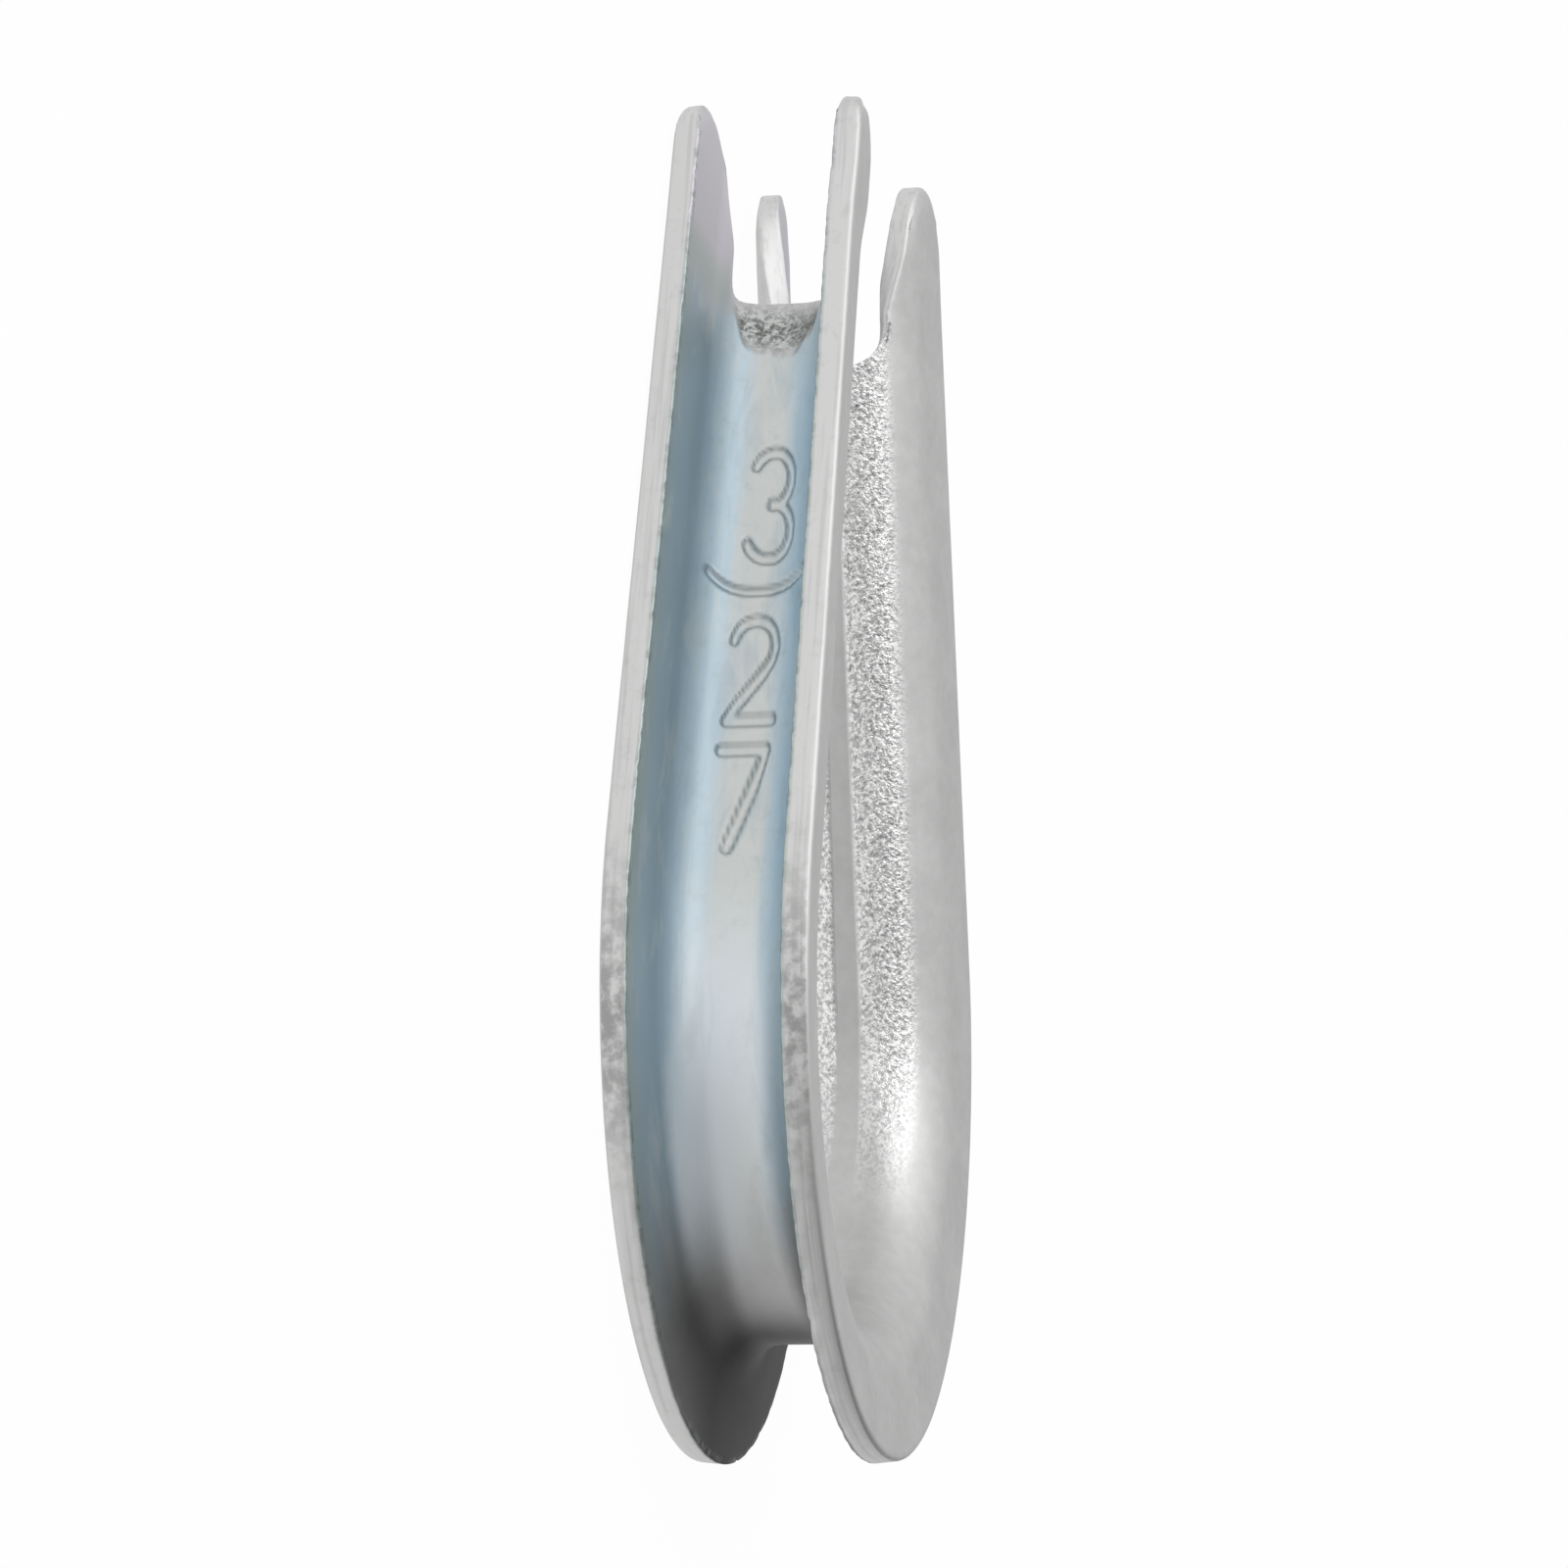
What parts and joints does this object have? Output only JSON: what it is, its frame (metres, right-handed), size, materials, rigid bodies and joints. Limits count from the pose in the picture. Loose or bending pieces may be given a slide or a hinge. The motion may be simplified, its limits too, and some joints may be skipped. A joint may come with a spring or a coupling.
{
  "type": "wire rope thimble",
  "caption": "Open teardrop eye pressed from one steel channel; the outer groove holds a wire rope loop and the eye takes a pin, hook or shackle.",
  "frame": {"origin": "on the axis of the pin that the crown bears on, in the middle of the thickness", "axes": "+Y from the round crown to the horns, +Z along the pin axis through the eye, +X across the eye"},
  "size_m": [0.0234, 0.036, 0.0054],
  "materials": {
    "zinc_plated_steel": "bright zinc plating, pale blue where it was passivated in the groove, satin on the flanges"
  },
  "bodies": {
    "root": {"thimble": "zinc_plated_steel"}
  },
  "joints": []
}
